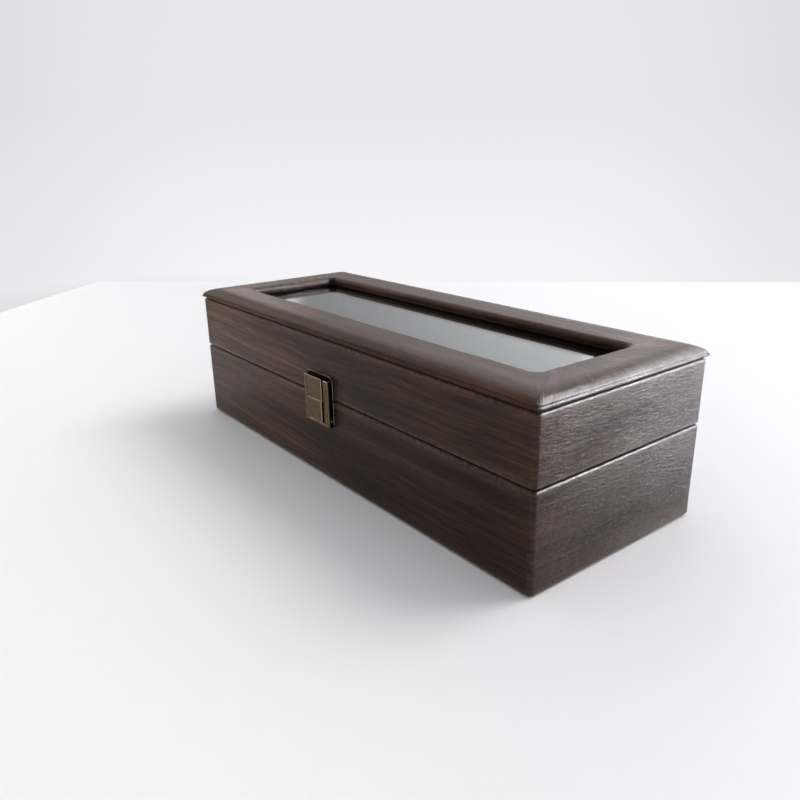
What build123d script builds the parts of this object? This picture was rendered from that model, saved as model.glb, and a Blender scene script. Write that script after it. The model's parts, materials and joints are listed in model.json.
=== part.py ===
from build123d import *
import os

# Lidded watch box covered in wood-grain leatherette, in millimetres.
# X runs along the length, the latch side faces -Y, +Z is up.
# The origin lies on the surface that the box stands on, under the middle of the box.

# Overall sizes
box_length = 272.0
box_depth = 104.0
seam_height = 43.6
lid_band_height = 28.6
frame_height = 5.2

# Walls and skins; a cut runs past what it cuts by the cut margin
board_thickness = 6.0
floor_thickness = 3.0
skin_thickness = 0.8
corner_radius = 2.2
skin_edge_radius = 0.6
seam_gap = 0.8
felt_thickness = 0.6
felt_margin = 2.5
under_turn_in = 12.0
lining_thickness = 1.2
fit_gap = 0.1
cut_margin = 1.0
least_corner_radius = 0.5

# Lining that stands up as a collar, which the lid closes round
collar_height = 2.4
collar_clearance = 0.3
collar_gap = 0.4

# Compartments and pillows
compartment_count = 5
divider_thickness = 4.0
divider_drop = 5.0
pillow_side_gap = 1.5
pillow_strap_gap = 8.5
pillow_seat_gap = 0.3
pillow_height = 44.0
pillow_corner = 13.0
pillow_shoulder = 7.0
pillow_end_share = 0.84
pillow_shoulder_share = 0.975

# Padded top frame and window
frame_overhang = 1.0
frame_gap = 0.8
frame_corner_radius = 3.0
frame_outer_roll = 4.2
frame_inner_roll = 3.0
frame_pad_side = 1.6
frame_pad_top = 1.2
frame_border_end = 22.0
frame_border_side = 23.5
window_corner_radius = 3.5
glass_thickness = 2.4
glass_bearing = 3.6
glass_rebate = 0.6
glass_gap = 0.3
lining_frame_thickness = 1.4
lining_frame_reveal = 1.0

# Hinges on the back
hinge_spacing = 170.0
leaf_width = 22.0
leaf_height = 10.0
leaf_thickness = 0.9
leaf_corner_radius = 1.2
leaf_clearance = 0.2
knuckle_radius = 1.9
knuckle_middle = 7.0
knuckle_gap = 0.15
hinge_stand_off = 0.1
hinge_pin_radius = 0.9
hinge_pin_clearance = 0.04
hinge_head_radius = 1.4
hinge_head_length = 0.8
hinge_head_dome = 0.48
hinge_nail_spacing = 13.0
hinge_nail_edge = 3.2

# Nails that hold the hinges and the latch
nail_head_radius = 1.2
nail_head_height = 0.5
nail_head_dome = 0.35
nail_shank_radius = 0.6
nail_length = 5.6
nail_clearance = 0.05

# Latch on the front
latch_middle = -2.5
latch_plate_width = 23.2
latch_plate_thickness = 0.8
latch_plate_margin = 0.7
latch_plate_top_margin = 1.8
latch_plate_low_margin = 1.0
latch_plate_top_radius = 3.0
latch_plate_low_radius = 2.0
housing_above = 10.0
housing_below = 13.6
housing_wall = 0.8
housing_front = 0.7
housing_edge_radius = 1.2
housing_lip_radius = 0.6
housing_rail_width = 3.9
housing_sill = 1.5
housing_lid_clearance = 0.35
lever_side_gap = 0.8
lever_thickness = 0.65
lever_proud = 0.45
lever_ledge_rise = 0.35
lever_ledge_drop = 0.8
lever_groove = 0.3
lever_toe_gap = 1.1
lever_top_rise = 0.35
lever_pin_height = 2.0
lever_knuckle_radius = 0.85
lever_pin_radius = 0.45
lever_pin_clearance = 0.05
lever_tooth_width = 6.0
lever_tooth_height = 1.0
lever_tooth_level = 0.8
hook_width = 8.0
hook_thickness = 0.5
hook_clearance = 0.15
hook_plate_gap = 0.15
hook_top = 7.0
hook_foot = 2.2
hook_reach = 2.0
latch_nail_height = 6.0

# Sizes that follow from the ones above
half_length = box_length / 2
half_depth = box_depth / 2
core_half_length = half_length - skin_thickness
core_half_depth = half_depth - skin_thickness
core_corner = corner_radius - skin_thickness
inner_half_length = core_half_length - board_thickness
inner_half_depth = core_half_depth - board_thickness
lid_board_thickness = board_thickness - collar_clearance
lid_inner_half_length = core_half_length - lid_board_thickness
lid_inner_half_depth = core_half_depth - lid_board_thickness
lined_half_length = inner_half_length - lining_thickness
lined_half_depth = inner_half_depth - lining_thickness
base_rim = seam_height - seam_gap / 2
lid_rim = seam_height + seam_gap / 2
base_core_low = felt_thickness + skin_thickness
base_core_high = base_rim - skin_thickness
floor_top = base_core_low + floor_thickness
lined_floor = floor_top + lining_thickness
lid_wall_top = lid_rim + lid_band_height
lid_core_low = lid_rim + skin_thickness
lid_core_high = lid_wall_top - skin_thickness
collar_top = base_rim + collar_height
top_height = lid_wall_top + frame_gap + frame_height
window_half_length = half_length - frame_border_end
window_half_width = half_depth - frame_border_side
divider_total = (compartment_count - 1) * divider_thickness
compartment_width = (2 * lined_half_length - divider_total) / compartment_count

parts = {}


def block(x_range, y_range, z_range):
    """A box between two values on each axis."""
    size = [high - low for low, high in (x_range, y_range, z_range)]
    middle = [(high + low) / 2 for low, high in (x_range, y_range, z_range)]
    return Pos(*middle) * Box(*size)


def rounded_block(half_x, half_y, z_range, radius):
    """A box about the Z axis with rounded upright corners."""
    outline = Pos(0, 0, z_range[0]) * RectangleRounded(2 * half_x, 2 * half_y, radius)
    return extrude(outline, z_range[1] - z_range[0])


def rod(point, axis, length, radius):
    """A cylinder that starts at a point and runs along an axis."""
    return Plane(origin=point, z_dir=axis) * extrude(Circle(radius), length)


def together(solids):
    """Separate solids as one group."""
    return Compound(children=list(solids))


# Walls of the base and of the lid

def board_set(z_range, thickness):
    """Four wall boards: front and back run the full length, the ends stand between them."""
    walls = {}
    inner_y = core_half_depth - thickness
    for name, side in (("front", -1), ("back", 1)):
        y_range = sorted((side * inner_y, side * core_half_depth))
        wall = block((-core_half_length, core_half_length), y_range, z_range)
        outer = wall.edges().filter_by(Axis.Z).sort_by(Axis.Y)
        outer = outer[:2] if side < 0 else outer[-2:]
        walls[name] = fillet(outer, core_corner)
    for name, side in (("left", -1), ("right", 1)):
        x_range = sorted((side * (core_half_length - thickness), side * core_half_length))
        walls[name] = block(x_range, (-inner_y, inner_y), z_range)
    return walls


def wall_skin(z_range, low_width, high_width):
    """Leatherette round the four walls, turned in over their upper and lower edges."""
    outside = rounded_block(half_length, half_depth, z_range, corner_radius)
    rims = outside.edges().group_by(Axis.Z)
    outside = fillet(rims[0] + rims[-1], skin_edge_radius)
    core_range = (z_range[0] + skin_thickness, z_range[1] - skin_thickness)
    skin = outside - rounded_block(core_half_length, core_half_depth, core_range, core_corner)
    cut_low = (z_range[0] - cut_margin, core_range[0])
    cut_high = (core_range[1], z_range[1] + cut_margin)
    for width, z_cut in ((low_width, cut_low), (high_width, cut_high)):
        skin -= block(
            (width - half_length, half_length - width),
            (width - half_depth, half_depth - width),
            z_cut,
        )
    return skin


def lining_set(z_range, outer_x, outer_y):
    """Four velvet panels between the wall boards and the lined inside."""
    panels = {}
    for name, side in (("front", -1), ("back", 1)):
        y_range = sorted((side * lined_half_depth, side * outer_y))
        panels[name] = block((-outer_x, outer_x), y_range, z_range)
    for name, side in (("left", -1), ("right", 1)):
        x_range = sorted((side * lined_half_length, side * outer_x))
        panels[name] = block(x_range, (-lined_half_depth, lined_half_depth), z_range)
    return panels


for wall_name, wall in board_set((base_core_low, base_core_high), board_thickness).items():
    parts[f"base_{wall_name}_board"] = wall
for wall_name, wall in board_set((lid_core_low, lid_core_high), lid_board_thickness).items():
    parts[f"lid_{wall_name}_board"] = wall
base_rim_width = skin_thickness + board_thickness
lid_rim_width = skin_thickness + lid_board_thickness
parts["base_skin"] = wall_skin((felt_thickness, base_rim), under_turn_in, base_rim_width)
parts["lid_skin"] = wall_skin((lid_rim, lid_wall_top), lid_rim_width, lid_rim_width)
parts["base_floor_board"] = block(
    (-inner_half_length, inner_half_length),
    (-inner_half_depth, inner_half_depth),
    (base_core_low, floor_top),
)
parts["underside_felt"] = rounded_block(
    half_length - felt_margin, half_depth - felt_margin, (0, felt_thickness), corner_radius
)
parts["base_floor_lining"] = block(
    (-inner_half_length, inner_half_length),
    (-inner_half_depth, inner_half_depth),
    (floor_top, lined_floor),
)
for wall_name, panel in lining_set((lined_floor, collar_top), inner_half_length, inner_half_depth).items():
    parts[f"base_{wall_name}_lining"] = panel


# Dividers between the compartments

for number in range(1, compartment_count):
    left = -lined_half_length + number * compartment_width + (number - 1) * divider_thickness
    parts[f"divider_{number}"] = block(
        (left, left + divider_thickness),
        (fit_gap - lined_half_depth, lined_half_depth - fit_gap),
        (lined_floor, base_rim - divider_drop),
    )


# Pillows, one to a compartment

def pillow(x_middle):
    """A crowned cushion on its side: fullest in the middle, drawn in towards both ends."""
    half_width = compartment_width / 2 - pillow_side_gap
    depth = 2 * (lined_half_depth - pillow_strap_gap)
    z_middle = lined_floor + pillow_seat_gap + pillow_height / 2
    stations = (
        (-half_width, pillow_end_share),
        (pillow_shoulder - half_width, pillow_shoulder_share),
        (0, 1),
        (half_width - pillow_shoulder, pillow_shoulder_share),
        (half_width, pillow_end_share),
    )
    outlines = []
    for offset, share in stations:
        face = RectangleRounded(depth * share, pillow_height * share, pillow_corner * share)
        place = Plane(origin=(x_middle + offset, 0, z_middle), x_dir=(0, 1, 0), z_dir=(1, 0, 0))
        outlines.append(place * face)
    return loft(outlines)


for number in range(1, compartment_count + 1):
    step = compartment_width + divider_thickness
    parts[f"pillow_{number}"] = pillow((number - (compartment_count + 1) / 2) * step)


# Padded top frame with its window

def frame_layer(inset):
    """The padded frame's outer form, drawn in by an inset on every side."""
    z_range = (lid_wall_top + frame_gap + inset, top_height - inset)
    form = rounded_block(
        half_length + frame_overhang - inset,
        half_depth + frame_overhang - inset,
        z_range,
        max(frame_corner_radius - inset, least_corner_radius),
    )
    form = fillet(form.edges().group_by(Axis.Z)[-1], frame_outer_roll - inset)
    reach_x = window_half_length + inset
    reach_y = window_half_width + inset
    through = (z_range[0] - cut_margin, z_range[1] + cut_margin)
    form -= rounded_block(reach_x, reach_y, through, window_corner_radius + inset)
    top_edges = form.edges().group_by(Axis.Z)[-1]
    window_edges = [
        edge for edge in top_edges
        if abs(edge.center().X) < reach_x + fit_gap and abs(edge.center().Y) < reach_y + fit_gap
    ]
    return fillet(window_edges, frame_inner_roll - inset)


rail_inset = skin_thickness + frame_pad_side
rail_outer_x = half_length + frame_overhang - rail_inset
rail_outer_y = half_depth + frame_overhang - rail_inset
rail_inner_x = window_half_length + rail_inset
rail_inner_y = window_half_width + rail_inset
rail_range = (lid_wall_top, top_height - skin_thickness - frame_pad_top)
glass_half_x = rail_inner_x + glass_bearing
glass_half_y = rail_inner_y + glass_bearing
glass_top = lid_wall_top + glass_rebate
glass_low = glass_top - glass_thickness

rebate = block(
    (-glass_half_x - glass_gap, glass_half_x + glass_gap),
    (-glass_half_y - glass_gap, glass_half_y + glass_gap),
    (glass_low, glass_top),
)
rails = {}
for rail_name, rail_side in (("front", -1), ("back", 1)):
    rail_span = sorted((rail_side * rail_inner_y, rail_side * rail_outer_y))
    rails[rail_name] = block((-rail_outer_x, rail_outer_x), rail_span, rail_range)
for rail_name, rail_side in (("left", -1), ("right", 1)):
    rail_span = sorted((rail_side * rail_inner_x, rail_side * rail_outer_x))
    rails[rail_name] = block(rail_span, (-rail_inner_y, rail_inner_y), rail_range)
rail_ring = block((-rail_outer_x, rail_outer_x), (-rail_outer_y, rail_outer_y), rail_range)
rail_ring -= block((-rail_inner_x, rail_inner_x), (-rail_inner_y, rail_inner_y), rail_range)
for rail_name, rail in rails.items():
    parts[f"frame_{rail_name}_rail"] = rail - rebate
frame_foam_form = frame_layer(skin_thickness)
parts["frame_padding"] = frame_foam_form - rail_ring
parts["frame_cover"] = frame_layer(0) - frame_foam_form - rail_ring

parts["glass_pane"] = block(
    (-glass_half_x, glass_half_x), (-glass_half_y, glass_half_y), (glass_low, glass_top)
)
lid_span_x = (fit_gap - lid_inner_half_length, lid_inner_half_length - fit_gap)
lid_span_y = (fit_gap - lid_inner_half_depth, lid_inner_half_depth - fit_gap)
lining_frame_range = (glass_low - lining_frame_thickness, glass_low)
parts["glass_packing"] = block(lid_span_x, lid_span_y, (glass_low, lid_wall_top)) - rebate
parts["lid_lining_frame"] = block(lid_span_x, lid_span_y, lining_frame_range) - rounded_block(
    window_half_length + lining_frame_reveal,
    window_half_width + lining_frame_reveal,
    lining_frame_range,
    window_corner_radius,
)
lid_lining_range = (collar_top + collar_gap, lining_frame_range[0])
for wall_name, panel in lining_set(lid_lining_range, lid_inner_half_length, lid_inner_half_depth).items():
    parts[f"lid_{wall_name}_lining"] = panel


# Nails with low domed heads, and the holes that they fill

def nail(point, outward):
    """A nail whose head rests on a point and whose shank runs inward."""
    plane = Plane(origin=point, z_dir=outward)
    head = extrude(Circle(nail_head_radius), nail_head_height)
    head = fillet(head.edges().sort_by(Axis.Z)[-1], nail_head_dome)
    shank = extrude(Circle(nail_shank_radius), -nail_length)
    return plane * (head + shank)


def nail_hole(point, outward):
    """The hole for a nail, a little wider than its shank."""
    hole = extrude(Circle(nail_shank_radius + nail_clearance), -nail_length - nail_clearance)
    return Plane(origin=point, z_dir=outward) * hole


def drill(names, holes):
    """Cut holes through several pieces."""
    for name in names:
        for hole in holes:
            parts[name] = parts[name] - hole


# Hinges on the back

hinge_axis_y = half_depth + hinge_stand_off + knuckle_radius
hinge_bore = hinge_pin_radius + hinge_pin_clearance
leaf_range = (half_depth, half_depth + leaf_thickness)
hinge_places = {"left": -hinge_spacing / 2, "right": hinge_spacing / 2}


def hinge_leaf(x_middle, up, spans, nail_points):
    """One leaf, above or below the pin, with its own knuckles."""
    near = seam_height + up * (knuckle_radius + leaf_clearance)
    far = seam_height + up * leaf_height
    leaf_span = (x_middle - leaf_width / 2, x_middle + leaf_width / 2)
    leaf = block(leaf_span, leaf_range, sorted((near, far)))
    corners = leaf.edges().filter_by(Axis.Y).group_by(Axis.Z)[-1 if up > 0 else 0]
    leaf = fillet(corners, leaf_corner_radius)
    for low, high in spans:
        web = block((x_middle + low, x_middle + high), leaf_range, sorted((seam_height, near)))
        knuckle = rod((x_middle + low, hinge_axis_y, seam_height), (1, 0, 0), high - low, knuckle_radius)
        leaf = leaf + web + knuckle
    leaf -= rod((x_middle - leaf_width, hinge_axis_y, seam_height), (1, 0, 0), 2 * leaf_width, hinge_bore)
    for point in nail_points:
        leaf -= nail_hole(point, (0, 1, 0))
    return leaf


middle_span = [(-knuckle_middle / 2, knuckle_middle / 2)]
outer_start = knuckle_middle / 2 + knuckle_gap
outer_spans = [(-leaf_width / 2, -outer_start), (outer_start, leaf_width / 2)]
hinge_nails = {-1: [], 1: []}
for side_name, place in hinge_places.items():
    for up, owner, spans in ((-1, "base", middle_span), (1, "lid", outer_spans)):
        nail_level = seam_height + up * (leaf_height - hinge_nail_edge)
        points = [
            (place + side * hinge_nail_spacing / 2, half_depth + leaf_thickness, nail_level)
            for side in (-1, 1)
        ]
        parts[f"{owner}_hinge_leaf_{side_name}"] = hinge_leaf(place, up, spans, points)
        drill((f"{owner}_skin", f"{owner}_back_board"), [nail_hole(p, (0, 1, 0)) for p in points])
        hinge_nails[up] += [nail(point, (0, 1, 0)) for point in points]
    pin_half = leaf_width / 2 + knuckle_gap
    pin = rod((place - pin_half, hinge_axis_y, seam_height), (1, 0, 0), 2 * pin_half, hinge_pin_radius)
    for side in (-1, 1):
        start = (place + side * pin_half, hinge_axis_y, seam_height)
        head = rod(start, (side, 0, 0), hinge_head_length, hinge_head_radius)
        rim = head.edges().filter_by(GeomType.CIRCLE).sort_by(Axis.X)[0 if side < 0 else -1]
        pin = pin + fillet(rim, hinge_head_dome)
    parts[f"hinge_pin_{side_name}"] = pin
parts["base_hinge_nails"] = together(hinge_nails[-1])
parts["lid_hinge_nails"] = together(hinge_nails[1])


# Latch on the front: two back plates, a housing on the base, a lever in it, a hook on the lid

def front(distance):
    """The Y value at a distance in front of the front face."""
    return -half_depth - distance


def latch_block(half_width, heights, depths):
    """A box about the latch's middle, by heights from the seam and distances in front."""
    return block(
        (latch_middle - half_width, latch_middle + half_width),
        sorted((front(depths[0]), front(depths[1]))),
        (seam_height + heights[0], seam_height + heights[1]),
    )


plate_half = latch_plate_width / 2
plate_above = housing_above + latch_plate_top_margin
plate_below = housing_below - latch_plate_low_margin
housing_half = plate_half - latch_plate_margin
opening_half = housing_half - housing_rail_width
lever_half = opening_half - lever_side_gap
half_seam = seam_gap / 2
hook_front = latch_plate_thickness + hook_plate_gap + hook_thickness
lever_pin_front = latch_plate_thickness + lever_knuckle_radius + fit_gap
housing_depth = lever_pin_front + lever_knuckle_radius + fit_gap + housing_front
lever_front = housing_depth + lever_proud
lever_back = lever_front - lever_thickness
lever_ledge_front = lever_front + lever_ledge_rise
lever_ledge_back = lever_ledge_front - lever_thickness
lid_plate = latch_block(plate_half, (half_seam, plate_above), (0, latch_plate_thickness))
lid_plate = fillet(lid_plate.edges().filter_by(Axis.Y).group_by(Axis.Z)[-1], latch_plate_top_radius)
base_plate = latch_block(plate_half, (-plate_below, -half_seam), (0, latch_plate_thickness))
base_plate = fillet(base_plate.edges().filter_by(Axis.Y).group_by(Axis.Z)[0], latch_plate_low_radius)
parts["latch_lid_plate"] = lid_plate
parts["latch_base_plate"] = base_plate

nail_aside = (lever_half + housing_half - housing_wall) / 2
for owner, up in (("base", -1), ("lid", 1)):
    nail_level = seam_height + up * latch_nail_height
    points = [
        (latch_middle + side * nail_aside, front(latch_plate_thickness), nail_level)
        for side in (-1, 1)
    ]
    holes = [nail_hole(point, (0, -1, 0)) for point in points]
    drill((f"latch_{owner}_plate", f"{owner}_skin", f"{owner}_front_board"), holes)
    parts[f"latch_{owner}_nails"] = together(nail(point, (0, -1, 0)) for point in points)

housing = latch_block(housing_half, (-housing_below, housing_above), (fit_gap, housing_depth))
housing_corners = housing.edges().filter_by(Axis.Z).group_by(Axis.Y)[0]
housing = fillet(housing_corners, housing_edge_radius)
housing = fillet(housing.faces().sort_by(Axis.Z)[0].edges().sort_by(Axis.Y)[0], housing_lip_radius)
cavity_low = housing_wall - housing_below
sill_level = housing_sill - housing_below
above_housing = housing_above + cut_margin
past_housing = housing_half + cut_margin
room_inside = (0, housing_depth - housing_front)
room_for_lid_plate = (0, latch_plate_thickness + housing_lid_clearance)
housing -= latch_block(housing_half - housing_wall, (cavity_low, above_housing), room_inside)
housing -= latch_block(opening_half, (sill_level, above_housing), (0, housing_depth + cut_margin))
housing -= latch_block(past_housing, (-plate_below - fit_gap, above_housing), (0, latch_plate_thickness))
housing -= latch_block(past_housing, (-half_seam, above_housing), room_for_lid_plate)
lever_pin_level = sill_level + lever_pin_height
lever_pin_point = (latch_middle, front(lever_pin_front), seam_height + lever_pin_level)


def cross_rod(half_width, radius):
    """A rod along X through the lever's pivot."""
    start = (latch_middle - half_width, lever_pin_point[1], lever_pin_point[2])
    return rod(start, (1, 0, 0), 2 * half_width, radius)


lever_bore = lever_pin_radius + lever_pin_clearance
parts["latch_housing"] = housing - cross_rod(past_housing, lever_bore)
parts["latch_pivot_pin"] = cross_rod(housing_half - fit_gap, lever_pin_radius)

lever_top = housing_above + lever_top_rise
ledge_level = -lever_ledge_drop
lever_outline = (
    (lever_front, lever_top),
    (lever_front, ledge_level + lever_groove),
    (lever_front - lever_groove, ledge_level),
    (lever_ledge_front, ledge_level),
    (lever_ledge_front, sill_level + lever_toe_gap),
    (lever_pin_front, lever_pin_level - lever_knuckle_radius),
    (lever_pin_front, lever_pin_level + lever_knuckle_radius),
    (lever_ledge_back, lever_pin_level + lever_knuckle_radius),
    (lever_ledge_back, ledge_level - lever_thickness),
    (lever_back, ledge_level - lever_thickness),
    (lever_back, lever_top),
)
lever_face = Plane(
    origin=(latch_middle - lever_half, front(0), seam_height), x_dir=(0, -1, 0), z_dir=(-1, 0, 0)
)
lever = extrude(lever_face * make_face(Polyline(*lever_outline, close=True)), -2 * lever_half)
lever += cross_rod(lever_half, lever_knuckle_radius)
lever -= cross_rod(past_housing, lever_bore)
tooth_range = (lever_tooth_level, lever_tooth_level + lever_tooth_height)
lever += latch_block(lever_tooth_width / 2, tooth_range, (hook_front + hook_clearance, lever_back))
parts["latch_lever"] = lever

spring_length = housing_half - housing_wall - lever_half - 2 * fit_gap
springs = []
for side in (-1, 1):
    start = (latch_middle + side * (lever_half + fit_gap), lever_pin_point[1], lever_pin_point[2])
    sleeve = rod(start, (side, 0, 0), spring_length, lever_knuckle_radius)
    springs.append(sleeve - rod(start, (side, 0, 0), spring_length, lever_bore))
parts["latch_springs"] = together(springs)

hook = latch_block(hook_width / 2, (hook_foot, hook_top), (latch_plate_thickness, hook_front))
hook += latch_block(hook_width / 2, (-hook_reach, hook_foot), (hook_front - hook_thickness, hook_front))
parts["latch_hook"] = hook


os.makedirs("parts", exist_ok=True)
for part_name, shape in parts.items():
    export_step(shape, f"parts/{part_name}.step")
print(len(parts), "pieces, compartments", round(compartment_width, 2), "mm wide")
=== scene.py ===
import bpy, bmesh, json
from math import sin, cos, radians, pi
from mathutils import Vector, Matrix, noise


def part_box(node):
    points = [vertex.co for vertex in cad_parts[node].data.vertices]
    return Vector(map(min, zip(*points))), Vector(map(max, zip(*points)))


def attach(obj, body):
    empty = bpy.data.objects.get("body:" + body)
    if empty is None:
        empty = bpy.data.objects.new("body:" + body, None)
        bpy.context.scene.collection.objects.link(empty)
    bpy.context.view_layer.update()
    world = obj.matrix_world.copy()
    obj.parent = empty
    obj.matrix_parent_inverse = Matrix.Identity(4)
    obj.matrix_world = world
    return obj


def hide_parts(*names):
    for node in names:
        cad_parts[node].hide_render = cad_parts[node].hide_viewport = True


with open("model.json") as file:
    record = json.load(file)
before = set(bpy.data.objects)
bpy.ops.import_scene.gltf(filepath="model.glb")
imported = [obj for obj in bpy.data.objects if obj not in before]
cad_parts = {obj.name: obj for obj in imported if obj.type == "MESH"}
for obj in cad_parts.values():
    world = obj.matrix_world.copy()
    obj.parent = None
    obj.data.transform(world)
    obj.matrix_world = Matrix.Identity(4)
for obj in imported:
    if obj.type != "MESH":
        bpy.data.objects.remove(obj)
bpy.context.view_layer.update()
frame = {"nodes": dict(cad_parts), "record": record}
nodes = frame["nodes"]
scene = bpy.context.scene
mm = 0.001
print("frame loaded:", len(nodes), "parts")


# Helpers for materials

def newMaterial(name):
    material = bpy.data.materials.new(name)
    material.use_nodes = True
    return material, material.node_tree, material.node_tree.nodes["Principled BSDF"]


def add(tree, kind, inputs=None, **settings):  # one shader node, its settings and what feeds it
    node = tree.nodes.new("ShaderNode" + kind)
    for key, value in settings.items():
        setattr(node, key, value)
    for key, value in (inputs or {}).items():
        if isinstance(value, bpy.types.NodeSocket):
            tree.links.new(value, node.inputs[key])
        else:
            node.inputs[key].default_value = value
    return node


def wire(tree, shader, **sockets):  # names with underscores stand for sockets with spaces
    for key, value in sockets.items():
        socket = shader.inputs[key.replace("_", " ")]
        if isinstance(value, bpy.types.NodeSocket):
            tree.links.new(value, socket)
        else:
            socket.default_value = value


def stretched(tree, source, amounts):
    return add(tree, "Mapping", {0: source, "Scale": amounts}).outputs[0]


def noiseOn(tree, source, amounts, detail=3, rough=0.55, twist=0.0):
    place = stretched(tree, source, amounts)
    inputs = {"Vector": place, "Scale": 1.0, "Detail": detail, "Roughness": rough, "Distortion": twist}
    return add(tree, "TexNoise", inputs).outputs[0]


def cellsOn(tree, source, amounts, feature="F1"):
    place = stretched(tree, source, amounts)
    return add(tree, "TexVoronoi", {"Vector": place, "Scale": 1.0}, feature=feature).outputs[0]


def ramp(tree, source, stops):
    node = add(tree, "ValToRGB", {0: source})
    bar = node.color_ramp
    while len(bar.elements) < len(stops):
        bar.elements.new(0.5)
    for element, (place, colour) in zip(bar.elements, stops):
        element.position = place
        element.color = (*colour, 1) if isinstance(colour, tuple) else (colour, colour, colour, 1)
    return node.outputs[0]


def calc(tree, how, a, b=0.0, c=0.0):
    return add(tree, "Math", {0: a, 1: b, 2: c}, operation=how).outputs[0]


def along(tree, place, way):  # how far a point or direction reaches along a way
    return add(tree, "VectorMath", {0: place, 1: way}, operation="DOT_PRODUCT").outputs["Value"]


def fade(tree, value, start, end, low=0.0, high=1.0, soft=False):
    how = "SMOOTHSTEP" if soft else "LINEAR"
    inputs = {0: value, 1: start, 2: end, 3: low, 4: high}
    return add(tree, "MapRange", inputs, interpolation_type=how).outputs[0]


def facingShare(tree, axis):  # how far a face looks along an axis, 0 to 1
    facing = add(tree, "SeparateXYZ", {0: add(tree, "TexCoord").outputs["Normal"]})
    return calc(tree, "ABSOLUTE", facing.outputs[axis])


def blendColours(tree, how, share, first, second):
    node = tree.nodes.new("ShaderNodeMix")
    node.data_type, node.blend_type = "RGBA", how
    for place, value in ((0, share), (6, first), (7, second)):
        if isinstance(value, bpy.types.NodeSocket):
            tree.links.new(value, node.inputs[place])
        else:
            node.inputs[place].default_value = (*value, 1) if isinstance(value, tuple) else value
    return node.outputs[2]


def relief(tree, height, depth, under=None):  # depth in metres
    inputs = {"Height": height, "Distance": depth, "Strength": 1.0}
    if under:
        inputs["Normal"] = under
    return add(tree, "Bump", inputs).outputs[0]


# Walnut leatherette

leather = {
    # patterns: repeats per metre along and across the grain, then detail, roughness and twist
    "sway": ((9, 22, 1), 2), "bands": ((7, 150, 1), 3), "streaks": ((26, 620, 1), 5, 0.62),
    "fibres": ((130, 2300, 1), 3, 0.6), "cast": ((16, 30, 1), 2), "rubs": ((420, 420, 1), 4),
    "peel": ((150, 210, 1), 3, 0.5, 0.6), "creases": ((250, 1000, 1), 6, 0.66, 0.8),
    "patches": ((24, 40, 1), 3), "pebbles": (1150, 1500, 1),
    # colours, from the dark pores to the light grain
    "tones": (
        (0.37, (0.0040, 0.0020, 0.0014)), (0.47, (0.0132, 0.0065, 0.0044)),
        (0.56, (0.034, 0.0178, 0.0122)), (0.70, (0.078, 0.043, 0.029)),
    ),
    "grainShares": (0.46, 0.40, 0.20),  # of bands, streaks and fibres
    "grainSway": 10 * mm,
    "castStops": ((0.32, (0.74, 0.72, 0.74)), (0.68, (1.30, 1.17, 1.08))),
    "worn": (0.17, 0.115, 0.088), "rubStops": ((0.35, 0.0), (0.75, 0.40)),
    "paintedGlowPeak": 0.265, "paintedGlowReach": 0.15, "paintedGlowRange": (0.86, 2.05),  # painted light: a paler glow about one end of the front
    "paintedShadeLow": (20 * mm, 68 * mm, 0.64, 1.08),  # painted shade: darker low down
    # relief
    "grooveDepth": 0.07 * mm, "creaseDepth": 0.15 * mm, "peelDepth": 0.20 * mm, "pebbleDepth": 0.04 * mm,
    "fibreLift": 0.6, "creaseGain": 3.2, "patchStops": ((0.36, 0.45), (0.62, 1.0)),
    "endShare": (0.15, 0.75, 0.28, 1.0),  # creases, by how far a face looks to the ends
    "backShare": (-45 * mm, 30 * mm, 0.45, 1.15),  # creases, from front to back
    "topShare": (15 * mm, 55 * mm, 0.70, 1.0),  # creases, from foot to top
    # gloss
    "roughness": 0.25, "streakGloss": -0.16, "castGloss": 0.12,
    "glossTint": (1.0, 0.90, 0.87), "specular": 0.05, "index": 1.45,
    "coat": 0.13, "edgeCoat": 0.16, "coatRoughness": 0.09,
    "bloom": 0.14, "bloomTint": (1.0, 0.60, 0.42), "bloomRoughness": 0.45,
}


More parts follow.
